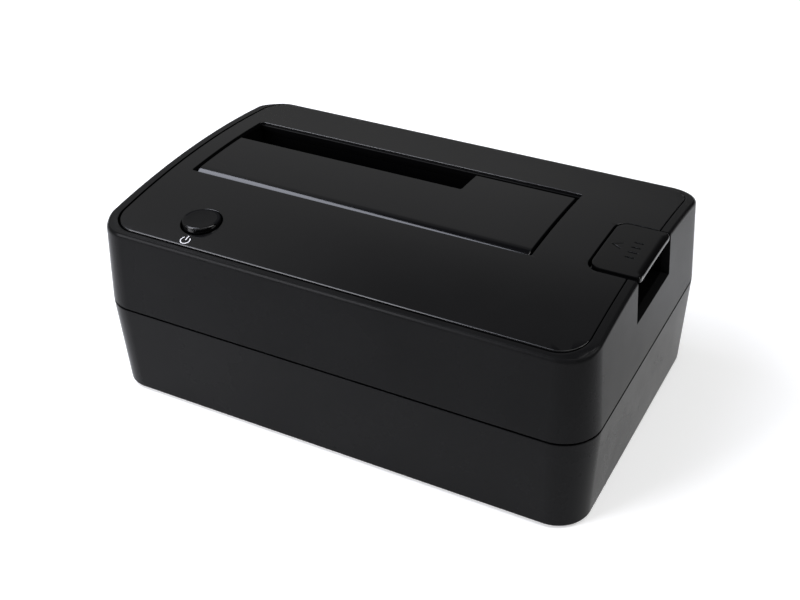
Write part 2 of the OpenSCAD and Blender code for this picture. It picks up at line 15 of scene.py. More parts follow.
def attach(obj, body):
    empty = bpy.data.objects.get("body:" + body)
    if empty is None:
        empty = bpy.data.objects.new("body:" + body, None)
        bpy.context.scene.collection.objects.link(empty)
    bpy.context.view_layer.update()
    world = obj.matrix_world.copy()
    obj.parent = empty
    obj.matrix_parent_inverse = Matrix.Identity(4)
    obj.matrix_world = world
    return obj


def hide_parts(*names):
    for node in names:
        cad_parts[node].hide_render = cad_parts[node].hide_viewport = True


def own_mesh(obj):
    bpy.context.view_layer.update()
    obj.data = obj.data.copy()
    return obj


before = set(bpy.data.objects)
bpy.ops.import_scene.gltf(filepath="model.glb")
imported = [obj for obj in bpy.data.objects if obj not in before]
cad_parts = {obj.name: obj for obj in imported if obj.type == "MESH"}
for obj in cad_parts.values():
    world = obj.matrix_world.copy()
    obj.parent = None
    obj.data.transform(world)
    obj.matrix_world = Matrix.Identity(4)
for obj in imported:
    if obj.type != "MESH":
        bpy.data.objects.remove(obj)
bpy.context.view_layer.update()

scene = bpy.context.scene
MM = 0.001

# ------------------------------------------------------------------ sizes
ZB, ZS, ZT = 0.9, 28.9, 56.699  # shell bottom, parting line, crown
R = 268.0  # arched top
UL, LL = 0.064, 0.042  # lean of the upper and lower walls
HX, HY, RC = 73.0, 46.25, 10.5  # half length, half depth, corner radius at the parting line
WALL = 2.3
PX, PY0, PY1, PR = 68.0, -42.65, 42.4, 7.2  # inset panel
GAP = 0.4
SEAT = (-68.15, 68.5, -42.75, 42.8)  # recess the panel lies in
SLOT = (-62.05, 43.15, -11.6, 24.6)
WELL = (-61.75, 42.85, -13.4, 24.2)
FLAP_X0, FLAP_X1 = -60.9, 42.1
FLAP_Y, FLAP_Z, ROLL = -8.0, 51.5306, 4.8
NOTCH_X, NOTCH_Y, FLAP_Y1 = 12.2, 12.0, 22.0
BTN = (-44.0, -32.2)
CAP_R = 5.25
SYM = (-43.6, -40.4)
TAB = (57.65, 71.35, -10.7, 14.1)
CUTX = 57.05
CUT0, CUT1 = -11.3, 14.45
SILL = 43.85
PIV = (58.0, 49.8)
BAR = (49.4, 44.8)
COLUMNS = [(x, y) for x in (-62.5, 62.5) for y in (-36.2, 36.2)]
FEET = [(x, y) for x in (-48.0, 48.0) for y in (-33.0, 33.0)]


def arch(y):
    return ZT - R + math.sqrt(R * R - y * y)


def lerp(a, b, t):
    return a + (b - a) * t


# ------------------------------------------------------------------ mesh tools
class Shape:
    """Vertices in millimetres and faces, gathered before they become a mesh."""

    def __init__(self):
        self.v, self.f = [], []

    def pt(self, x, y, z):
        self.v.append((x, y, z))
        return len(self.v) - 1

    def face(self, ids):
        ids = [a for k, a in enumerate(ids) if a != ids[k - 1]]
        if len(ids) > 2:
            self.f.append(tuple(ids))

    def strip(self, a, b, closed=True):
        n = len(a)
        for i in range(n if closed else n - 1):
            j = (i + 1) % n
            self.face((a[i], a[j], b[j], b[i]))


def make(name, s, body, mat, replaces=(), sharp=38, bevel=None, weld=True):
    me = bpy.data.meshes.new(name)
    me.from_pydata([(x * MM, y * MM, z * MM) for x, y, z in s.v], [], s.f)
    bm = bmesh.new()
    bm.from_mesh(me)
    if weld:
        bmesh.ops.remove_doubles(bm, verts=bm.verts, dist=2e-6)
    bmesh.ops.recalc_face_normals(bm, faces=bm.faces)
    if bevel:
        test, width, segs = bevel
        edges = [e for e in bm.edges if test(e)]
        bmesh.ops.bevel(
            bm, geom=edges, offset=width * MM, offset_type="OFFSET", segments=segs,
            profile=0.5, affect="EDGES", clamp_overlap=True,
        )
    bm.to_mesh(me)
    bm.free()
    ob = bpy.data.objects.new(name, me)
    scene.collection.objects.link(ob)
    me.materials.append(mat)
    finish_mesh(ob, sharp)
    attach(ob, body)
    if replaces:
        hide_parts(*replaces)
    return ob


def finish_mesh(ob, sharp):
    me = ob.data
    me.polygons.foreach_set("use_smooth", [True] * len(me.polygons))
    me.set_sharp_from_angle(angle=math.radians(sharp))
    wn = ob.modifiers.new("normals", "WEIGHTED_NORMAL")
    wn.keep_sharp = True
    wn.weight = 60
    wn.mode = "FACE_AREA"


def offset(loop, d):
    """Moves a loop to its left by d, or by d[i] at each point."""
    n, out = len(loop), []
    for i in range(n):
        a, b, c = Vector(loop[i - 1]), Vector(loop[i]), Vector(loop[(i + 1) % n])
        e, f = (b - a).normalized(), (c - b).normalized()
        n1, n2 = Vector((-e.y, e.x)), Vector((-f.y, f.x))
        k = d[i] if isinstance(d, list) else d
        p = b + (n1 + n2) * (k / max(0.35, 1 + n1.dot(n2)))
        out.append((p.x, p.y))
    return out


def rounded(corners, step=4.0, rows=None, cols=None):
    """Closed loop through (x, y, radius) corners, in order; straight runs are divided."""
    n, out = len(corners), []
    ends = []
    for i in range(n):
        a, b, c = corners[i - 1], corners[i], corners[(i + 1) % n]
        p = Vector(b[:2])
        u, w = (Vector(a[:2]) - p).normalized(), (Vector(c[:2]) - p).normalized()
        r = b[2]
        if r <= 0:
            ends.append(([tuple(p)], p, p))
            continue
        half = math.acos(max(-1, min(1, u.dot(w)))) / 2
        t = r / math.tan(half)
        s0, s1 = p + u * t, p + w * t
        centre = p + (u + w).normalized() * (r / math.sin(half))
        a0 = math.atan2(s0.y - centre.y, s0.x - centre.x)
        a1 = math.atan2(s1.y - centre.y, s1.x - centre.x)
        da = (a1 - a0 + math.pi) % (2 * math.pi) - math.pi
        m = max(4, int(abs(da) * r / 0.35), int(abs(da) / 0.16))
        arc = [(centre.x + r * math.cos(a0 + da * k / m), centre.y + r * math.sin(a0 + da * k / m)) for k in range(m + 1)]
        ends.append((arc, s0, s1))
    for i in range(n):
        arc, _, s1 = ends[i]
        nxt = ends[(i + 1) % n][1]
        out += arc
        run = nxt - s1
        marks = []
        if abs(run.x) < 1e-6 and rows:
            marks = sorted((v for v in rows if min(s1.y, nxt.y) + 0.12 < v < max(s1.y, nxt.y) - 0.12), reverse=run.y < 0)
            out += [(s1.x, v) for v in marks]
        elif abs(run.y) < 1e-6 and cols:
            marks = sorted((v for v in cols if min(s1.x, nxt.x) + 0.12 < v < max(s1.x, nxt.x) - 0.12), reverse=run.x < 0)
            out += [(v, s1.y) for v in marks]
        else:
            m = max(1, int(run.length / step))
            out += [(s1.x + run.x * k / m, s1.y + run.y * k / m) for k in range(1, m)]
    return out


def circle(cx, cy, r, n=48, cw=False):
    k = -1 if cw else 1
    return [(cx + r * math.cos(k * 2 * math.pi * i / n), cy + r * math.sin(k * 2 * math.pi * i / n)) for i in range(n)]


def fill(s, loops, grid=(), place=None, clear=0.6):
    """Triangles inside loops of (u, v, vertex), holes left open, over optional inner points."""
    pts, edges, ids = [], [], []
    for loop in loops:
        k, n = len(pts), len(loop)
        pts += [(u, v) for u, v, _ in loop]
        ids += [i for _, _, i in loop]
        edges += [(k + i, k + (i + 1) % n) for i in range(n)]
    co = np.array(pts)
    a, b = co[[e[0] for e in edges]], co[[e[1] for e in edges]]
    d = b - a
    for g in grid:
        t = np.clip(((np.array(g) - a) * d).sum(1) / np.maximum((d * d).sum(1), 1e-12), 0, 1)
        if np.hypot(*(a + d * t[:, None] - g).T).min() > clear:
            pts.append(g)
            ids.append(None)
    co, _, faces, ov, _, _ = delaunay_2d_cdt([Vector(p) for p in pts], edges, [], 0, 1e-5)
    flat = np.array([tuple(c) for c in co])
    names = {}
    for f in faces:
        x, y = flat[list(f)].mean(0)
        over = (a[:, 1] > y) != (b[:, 1] > y)
        cross = a[over, 0] + (y - a[over, 1]) * d[over, 0] / d[over, 1]
        if (cross > x).sum() % 2 == 0:
            continue
        tri = []
        for c in f:
            if c not in names:
                i = next((ids[o] for o in ov[c] if ids[o] is not None), None)
                names[c] = s.pt(*place(co[c].x, co[c].y)) if i is None else i
            tri.append(names[c])
        s.face(tri)


def plate(s, loops, place, t, r_top=0.4, r_bot=0.0, n=5, grid=(), clear=0.6):
    """Sheet of thickness t with round edges. Loops run with the material on their left."""
    tops, bots = [], []
    for loop in loops:
        def radius(r):
            return [r(u, v) for u, v in loop] if callable(r) else [r] * len(loop)

        rt, rb = radius(r_top), radius(r_bot)
        rings = []
        steps = [k / n for k in range(n + 1)] if max(rt) > 0 else [1.0]
        for k in steps:
            a = k * math.pi / 2
            ring = offset(loop, [q * (1 - math.sin(a)) for q in rt])
            rings.append((ring, [s.pt(*place(u, v, q * (1 - math.cos(a)))) for (u, v), q in zip(ring, rt)]))
        steps = [k / n for k in range(n + 1)] if max(rb) > 0 else [0.0]
        for k in steps:
            a = k * math.pi / 2
            ring = offset(loop, [q * (1 - math.cos(a)) for q in rb])
            rings.append((ring, [s.pt(*place(u, v, t - q * (1 - math.sin(a)))) for (u, v), q in zip(ring, rb)]))
        for (_, a), (_, b) in zip(rings, rings[1:]):
            s.strip(a, b)
        tops.append([(u, v, i) for (u, v), i in zip(*rings[0])])
        bots.append([(u, v, i) for (u, v), i in zip(*rings[-1])])
    fill(s, tops, grid, lambda u, v: place(u, v, 0), clear)
    fill(s, bots, grid, lambda u, v: place(u, v, t), clear)


def revolve(s, prof, place, n=64):
    """Turns a profile of (radius, height) about an axis; place maps radius, angle, height."""
    rings = []
    for r, h in prof:
        if r < 1e-9:
            rings.append([s.pt(*place(0, 0, h))] * n)
        else:
            rings.append([s.pt(*place(r, 2 * math.pi * k / n, h)) for k in range(n)])
    for a, b in zip(rings, rings[1:]):
        s.strip(a, b)


def upright(cx, cy):
    return lambda r, a, h: (cx + r * math.cos(a), cy + r * math.sin(a), h)


def along_x(y, z):
    return lambda r, a, h: (h, y + r * math.cos(a), z + r * math.sin(a))


def along_y(x, z):
    return lambda r, a, h: (x + r * math.cos(a), h, z + r * math.sin(a))


def rod(s, place, r, h0, h1, e=0.2, n=40):
    """Solid round bar with eased ends."""
    revolve(s, [(0, h0), (r - e, h0), (r - 0.3 * e, h0 + 0.3 * e), (r, h0 + e), (r, h1 - e), (r - 0.3 * e, h1 - 0.3 * e), (r - e, h1), (0, h1)], place, n)


def prism(s, poly, place, h0, h1):
    """Polygon pushed from h0 to h1; place maps its two coordinates and the height."""
    a = [s.pt(*place(u, v, h0)) for u, v in poly]
    b = [s.pt(*place(u, v, h1)) for u, v in poly]
    s.strip(a, b)
    s.face(a)
    s.face(b[::-1])


def box(s, x0, x1, y0, y1, z0, z1):
    prism(s, [(x0, y0), (x1, y0), (x1, y1), (x0, y1)], lambda u, v, h: (u, v, h), z0, z1)


RIGHT_Y = [-31.0, -26.0, -21.0, -16.0, CUT0, -7.0, -2.5, 2.0, 6.5, 10.5, CUT1, 19.0, 24.0, 29.0, 33.0]


def outline(x0, x1, y0, y1, r, nc=20, nx=26, ny=18):
    """Stations (x, y, outward normal) round a rectangle with round corners; every outline has the same stations."""
    pts = []

    def arc(cx, cy, a0):
        for k in range(1, nc):
            a = math.radians(a0 + 90 * k / nc)
            pts.append((cx + r * math.cos(a), cy + r * math.sin(a), math.cos(a), math.sin(a)))

    pts += [(x1, y, 1, 0) for y in [y0 + r] + RIGHT_Y + [y1 - r]]
    arc(x1 - r, y1 - r, 0)
    pts += [(lerp(x1 - r, x0 + r, k / nx), y1, 0, 1) for k in range(nx + 1)]
    arc(x0 + r, y1 - r, 90)
    pts += [(x0, lerp(y1 - r, y0 + r, k / ny), -1, 0) for k in range(ny + 1)]
    arc(x0 + r, y0 + r, 180)
    pts += [(lerp(x0 + r, x1 - r, k / nx), y0, 0, -1) for k in range(nx + 1)]
    arc(x1 - r, y0 + r, 270)
    return pts


IW0, IW1 = 1 + RIGHT_Y.index(CUT0), 1 + RIGHT_Y.index(CUT1)


# ------------------------------------------------------------------ materials
def link(nt, a, b):
    nt.links.new(a, b)


def moulded(name, base, rough, spec=0.5, grain=0.3, depth=0.012, tint=0.18, rvar=0.05, patch=26.0, metal=0.0,
            coat=0.0, coat_rough=0.1, wear=0.0, brushed=None, sheen=0.0):
    """Plastic, rubber or metal with a fine moulded grain, broad unevenness and handled gloss."""
    m = bpy.data.materials.new(name)
    m.use_nodes = True
    nt = m.node_tree
    nt.nodes.clear()
    new = nt.nodes.new
    out, b = new("ShaderNodeOutputMaterial"), new("ShaderNodeBsdfPrincipled")
    link(nt, b.outputs["BSDF"], out.inputs["Surface"])
    b.inputs["Specular IOR Level"].default_value = spec
    b.inputs["Metallic"].default_value = metal
    b.inputs["Coat Weight"].default_value = coat
    b.inputs["Coat Roughness"].default_value = coat_rough
    b.inputs["Sheen Weight"].default_value = sheen
    tc = new("ShaderNodeTexCoord")
    src = tc.outputs["Object"]
    if brushed:
        mp = new("ShaderNodeMapping")
        mp.inputs["Scale"].default_value = brushed
        link(nt, src, mp.inputs["Vector"])
        fine_src = mp.outputs["Vector"]
    else:
        fine_src = src
    fine = new("ShaderNodeTexNoise")
    fine.inputs["Scale"].default_value = 1000.0 / grain
    fine.inputs["Detail"].default_value = 2.5
    fine.inputs["Roughness"].default_value = 0.55
    link(nt, fine_src, fine.inputs["Vector"])
    broad = new("ShaderNodeTexNoise")
    broad.inputs["Scale"].default_value = 1000.0 / patch
    broad.inputs["Detail"].default_value = 5.0
    broad.inputs["Roughness"].default_value = 0.6
    link(nt, src, broad.inputs["Vector"])
    mixed = new("ShaderNodeMath")
    mixed.operation = "MULTIPLY_ADD"
    mixed.inputs[1].default_value = 0.5
    link(nt, fine.outputs["Fac"], mixed.inputs[0])
    half = new("ShaderNodeMath")
    half.operation = "MULTIPLY"
    half.inputs[1].default_value = 0.5
    link(nt, broad.outputs["Fac"], half.inputs[0])
    link(nt, half.outputs["Value"], mixed.inputs[2])
    ramp = new("ShaderNodeValToRGB")
    ramp.color_ramp.elements[0].position = 0.3
    ramp.color_ramp.elements[1].position = 0.7
    ramp.color_ramp.elements[0].color = (*[c * (1 - tint) for c in base], 1)
    ramp.color_ramp.elements[1].color = (*[c * (1 + tint) for c in base], 1)
    link(nt, mixed.outputs["Value"], ramp.inputs["Fac"])
    link(nt, ramp.outputs["Color"], b.inputs["Base Color"])
    mr = new("ShaderNodeMapRange")
    mr.inputs["From Min"].default_value = 0.3
    mr.inputs["From Max"].default_value = 0.7
    mr.inputs["To Min"].default_value = max(0.02, rough - rvar)
    mr.inputs["To Max"].default_value = min(1.0, rough + rvar)
    link(nt, broad.outputs["Fac"], mr.inputs["Value"])
    link(nt, mr.outputs["Result"], b.inputs["Roughness"])
    bump = new("ShaderNodeBump")
    bump.inputs["Strength"].default_value = 1.0
    bump.inputs["Distance"].default_value = depth * MM
    link(nt, fine.outputs["Fac"], bump.inputs["Height"])
    link(nt, bump.outputs["Normal"], b.inputs["Normal"])
    return m


SHELL = moulded("shell_plastic", (0.0066, 0.0066, 0.0068), 0.26, spec=0.046, grain=0.32, depth=0.006)
# glossier, darker copy of the shell plastic for the rim's flat tops only: a painted sheen
RIM_SHEEN = moulded("shell_rim_painted_sheen", (0.0044, 0.0044, 0.0046), 0.22, spec=0.32, grain=0.26, depth=0.003)
PANEL = moulded("panel_plastic", (0.0034, 0.0034, 0.0037), 0.15, grain=0.22, depth=0.001, rvar=0.02)
FLAP = moulded("flap_plastic", (0.003, 0.003, 0.0034), 0.11, grain=0.22, depth=0.0016, rvar=0.03)
CAP = moulded("button_plastic", (0.0015, 0.0015, 0.0017), 0.1, grain=0.3, depth=0.0006, rvar=0.03)
TABM = moulded("tab_plastic", (0.0018, 0.0018, 0.002), 0.16, grain=0.22, depth=0.0014, rvar=0.03)
# near-black plastic, also used as painted shade in the well, under the panel, in the grooves, along the seam and on the
# tab's sides
SHADE_BLACK = moulded("well_plastic", (0.0006, 0.0006, 0.0007), 0.7, spec=0.03, grain=0.35, depth=0.014)
CAPTOP = moulded("button_top_plastic", (0.003, 0.003, 0.0033), 0.28, spec=0.2, grain=0.22, depth=0.002, rvar=0.03)
# dull copy of the button plastic for the back half of its rounded edge, painting out the highlight there as shade
CAP_BACK_SHADE = moulded("button_back_edge_painted_shade", (0.0045, 0.0045, 0.005), 0.5, spec=0.05, grain=0.22, depth=0.002)
RUBBER = moulded("foot_rubber", (0.012, 0.012, 0.012), 0.75, spec=0.3, grain=0.5, depth=0.02)
INK = moulded("print_ink", (0.8, 0.8, 0.82), 0.5, grain=0.12, depth=0.002, tint=0.04)
STEEL = moulded("steel", (0.55, 0.56, 0.58), 0.26, grain=0.5, depth=0.001, tint=0.06, metal=1.0, brushed=(0.05, 1, 1))
SPRING = moulded("spring_steel", (0.5, 0.5, 0.52), 0.3, grain=0.3, depth=0.001, tint=0.08, metal=1.0)
SCREW = moulded("screw_steel", (0.42, 0.42, 0.44), 0.32, grain=0.25, depth=0.002, tint=0.1, metal=1.0)
BOARD = moulded("circuit_board", (0.012, 0.085, 0.03), 0.35, grain=0.5, depth=0.003, tint=0.22, coat=0.4)
CHIP = moulded("chip_plastic", (0.012, 0.012, 0.013), 0.55, grain=0.15, depth=0.004)
CONTACT = moulded("contact_metal", (0.8, 0.56, 0.2), 0.24, grain=0.2, depth=0.001, tint=0.08, metal=1.0)
PORT = moulded("port_metal", (0.62, 0.63, 0.65), 0.25, grain=0.4, depth=0.0015, tint=0.06, metal=1.0, brushed=(1, 0.06, 1))
USB = moulded("usb_plastic", (0.012, 0.07, 0.42), 0.4, grain=0.2, depth=0.002)
NYLON = moulded("nylon", (0.6, 0.59, 0.55), 0.5, grain=0.3, depth=0.004, tint=0.05)
CLEAR = moulded("clear_plastic", (0.72, 0.78, 0.82), 0.12, grain=0.5, depth=0.001, tint=0.03)
INDUCTOR = moulded("inductor_body", (0.035, 0.035, 0.037), 0.6, grain=0.3, depth=0.008)
CANM = moulded("capacitor_can", (0.03, 0.035, 0.07), 0.35, grain=0.4, depth=0.002)
CERAMIC = moulded("chip_ceramic", (0.3, 0.22, 0.13), 0.5, grain=0.2, depth=0.003)
JACKET = moulded("wire_jacket", (0.32, 0.02, 0.015), 0.45, grain=0.3, depth=0.003)

# the drive well and its connector take the near-black plastic, which also paints the inside of the well as shade
KEPT = {
    "drive_well": SHADE_BLACK, "flap_hinge_pin": STEEL, "flap_spring": SPRING, "switch_plunger": NYLON,
    "switch_housing": CHIP, "switch_spring": SPRING, "button_board": BOARD, "button_board_screws": SCREW,
    "status_led": CLEAR, "light_pipe": CLEAR, "eject_pivot_pin": STEEL, "eject_spring": SPRING,
    "eject_lifter": NYLON, "main_board": BOARD, "main_board_screws": SCREW, "drive_connector": SHADE_BLACK,
    "drive_connector_contacts": CONTACT, "usb_port_shell": PORT, "usb_port_insulator": USB,
    "usb_port_contacts": CONTACT, "dc_jack_housing": CHIP, "dc_jack_pin": PORT, "dc_jack_leaf": CONTACT,
    "bridge_chip": CHIP, "regulator_chips": CHIP, "power_inductors": INDUCTOR, "capacitors": CANM,
    "crystal": PORT, "chip_passives": CERAMIC, "cable_headers": NYLON, "button_cable": JACKET,
    "well_screws": SCREW, "case_screws": SCREW,
}
for name, mat in KEPT.items():
    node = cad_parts[name]
    node.data.materials.clear()
    node.data.materials.append(mat)


# ------------------------------------------------------------------ upper shell
def on_deck(down):
    return lambda x, y, d: (x, y, arch(y) - down - d)


def upper_shell():
    s = Shape()
    body = outline(-HX, HX, -HY, HY, RC)
    seat = outline(*SEAT, PR + GAP)
    cols, sill, sill_in = [], 0, 0
    for (px, py, nx, ny), (qx, qy, mx, my) in zip(body, seat):
        def at(o, z):
            return (px + nx * o, py + ny * o, z)

        def wall(z):
            return -UL * (z - ZS)

        left, right, turn = max(0.0, -nx), max(0.0, nx), (2 * nx * ny) ** 2
        ease = max(0.0, min(1.0, (-ny - 0.2) / 0.6))
        ease = ease * ease * (3 - 2 * ease)  # 1 along the front, where a crease divides the rim from the round
        drop = lerp(0.25, 0.08, nx * nx)  # the rim lies just below the panel
        z_e = 55.0
        for _ in range(8):
            o_e = wall(z_e)
            z_e = arch(py + ny * o_e) - drop
        y_e = py + ny * o_e
        m = -(y_e / math.sqrt(R * R - y_e * y_e)) * ny
        rf = lerp(1.4, 1.5, ny * ny) + 0.35 * left * left - 0.4 * right * right + (1.0 * left + 0.2) * turn
        a_, b_ = math.sqrt(1 + UL * UL), math.sqrt(1 + m * m)
        oc = (-UL * (z_e - m * o_e - rf * b_ - ZS) - rf * a_) / (1 + UL * m)
        zc = z_e + m * (oc - o_e) - rf * b_
        a1, a2 = math.atan(UL), math.atan2(1, -m)
        zf = arch(SEAT[2]) - drop - 1.75
        rf, zc, a2 = lerp(rf, 2.0, ease), lerp(zc, zf, ease), lerp(a2, math.radians(50), ease)
        oc = -UL * (zc - ZS) - rf * a_
        z0, re = ZS + 0.15, 0.2
        p = [at(-1.1, z0)]
        ob = wall(z0 + re) - re
        p += [at(ob + re * math.cos(a), z0 + re + re * math.sin(a)) for a in (math.radians(-90 + 22.5 * k) for k in range(5))]
        p += [at(wall(z), z) for z in (32.0, 38.0)]
        sill = len(p)
        p.append(at(wall(SILL), SILL))
        p.append(at(wall(48.5), 48.5))
        for k in range(11):
            a = lerp(a1, a2, k / 10)
            o, z = oc + rf * math.cos(a), zc + rf * math.sin(a)
            p.append(at(o, z))
        tx, ty, tz = p[-1]
        rg = lerp(0.16, 0.08, left * left)
        gx, gy = qx + mx * rg, qy + my * rg
        for f in (0.33, 0.67, 1.0):
            x, y = lerp(tx, gx, f), lerp(ty, gy, f)
            p.append((x, y, lerp(arch(y), lerp(tz + drop, arch(gy), f), ease) - drop))
        for k in range(1, 5):
            a = math.radians(90 + 22.5 * k)
            p.append((qx + mx * (rg + rg * math.cos(a)), qy + my * (rg + rg * math.cos(a)), arch(gy) - drop - rg + rg * math.sin(a)))
        p.append((qx, qy, arch(qy) - 3.4))
        zi = arch(py + ny * (wall(52) - WALL)) - 3.4
        p.append(at(wall(zi) - WALL, zi))
        sill_in = len(p)
        p.append(at(wall(SILL) - WALL, SILL))
        p.append(at(wall(ZS + 2.4) - WALL, ZS + 2.4))
        p.append(at(-1.1, ZS + 2.4))
        cols.append(p)
    rows = len(cols[0])
    low = list(range(sill + 1)) + list(range(sill_in, rows))
    ids = [[s.pt(*q) if r in low or not IW0 < i < IW1 else None for r, q in enumerate(p)] for i, p in enumerate(cols)]
    n = len(ids)
    for i in range(n):
        j = (i + 1) % n
        use = low if IW0 <= i and j <= IW1 and j > i else list(range(rows))
        for k in range(len(use)):
            a, b = use[k], use[(k + 1) % len(use)]
            s.face((ids[i][a], ids[j][a], ids[j][b], ids[i][b]))
    for i in (IW0, IW1):
        s.face([ids[i][r] for r in range(sill, sill_in + 1)])
    # deck under the inset panel
    x = PX + GAP + 0.25
    loop = rounded([
        (-x, PY0 - GAP - 0.25, 7.6), (x, PY0 - GAP - 0.25, 7.6), (x, CUT0, 0), (CUTX, CUT0, 3.8), (CUTX, CUT1, 3.8),
        (x, CUT1, 0), (x, PY1 + GAP + 0.25, 7.6), (-x, PY1 + GAP + 0.25, 7.6)])
    hole = rounded([(WELL[0], WELL[3], 0.4), (WELL[1], WELL[3], 0.4), (WELL[1], WELL[2], 0.4), (WELL[0], WELL[2], 0.4)])
    grid = [(gx, gy) for gx in range(-66, 68, 6) for gy in range(-40, 44, 4)]
    plate(s, [loop, hole, circle(*BTN, 5.75, 48, True)], on_deck(1.32), 2.1, 0.0, 0.0, grid=grid, clear=1.0)
    # ledge just inside the slot's rear edge
    lip = rounded([(SLOT[0] + 0.1, 23.7, 0.1), (SLOT[1] - 0.1, 23.7, 0.1), (SLOT[1] - 0.1, 24.5, 0.1), (SLOT[0] + 0.1, 24.5, 0.1)])
    plate(s, [lip], on_deck(0.8), 1.4, 0.1, 0.0, n=2)
    # pocket under the tab: cheeks, floor and back
    for y0, y1 in ((CUT0 - 1.6, CUT0 - 0.03), (CUT1 + 0.03, CUT1 + 1.6)):
        box(s, 54.6, 70.3, y0, y1, SILL - 1.6, arch(max(abs(y0), abs(y1))) - 2.6)
    box(s, 60.9, 70.3, CUT0 - 1.5, CUT1 + 1.5, SILL - 1.55, SILL - 0.03)
    box(s, 60.8, 62.2, CUT0 - 1.4, CUT1 + 1.4, SILL - 1.5, PIV[1] - 3.6)
    # screw columns and posts
    for x, y in COLUMNS:
        revolve(s, [(1.25, ZS + 0.3), (3.6, ZS + 0.3), (3.6, arch(y) - 3.0), (0, arch(y) - 3.0), (0, ZS + 9), (1.25, ZS + 9), (1.25, ZS + 0.3)], upright(x, y), 32)

    def edge(e):
        a, b = (v.co / MM for v in e.verts)
        if min(a.x, b.x) < 66 or len(e.link_faces) != 2:
            return False
        on = [abs(a.y - c) < 1e-3 and abs(b.y - c) < 1e-3 for c in (CUT0, CUT1)]
        if not any(on) and not (abs(a.z - SILL) < 1e-3 and abs(b.z - SILL) < 1e-3):
            return False
        f, g = e.link_faces
        return e.is_convex and f.normal.angle(g.normal) > 0.6 and min(a.z, b.z) > SILL - 0.01 and max(a.x, b.x) > 69.5

    ob = make("upper_case", s, "housing", SHELL, ("upper_shell",), sharp=26, bevel=(edge, 0.22, 2))
    # painted shade: the deck and the pocket, which only show through gaps, the groove walls round the panel and the
    # faces at the seam take the near-black plastic
    ob.data.materials.append(SHADE_BLACK)
    ob.data.materials.append(RIM_SHEEN)
    for f in ob.data.polygons:
        x, y, z = f.center / MM
        under = abs(x) < PX and PY0 < y < PY1 and z < arch(y) - 0.8 and not (23 < y < 24.6 and z > arch(y) - 2.2)
        groove = abs(x) < PX + 0.6 and abs(y) < HY - 2.6 and z < arch(y) - (0.12 if x < -66 else 0.45) and f.normal.x * x + f.normal.y * y < -0.1
        if under or groove or z < ZS + 0.16:
            f.material_index = 1
        # painted sheen: the rim's upward-facing flat faces take the glossier rim plastic
        elif f.normal.z > 0.9 and z > arch(y) - 0.6:
            f.material_index = 2
    return ob


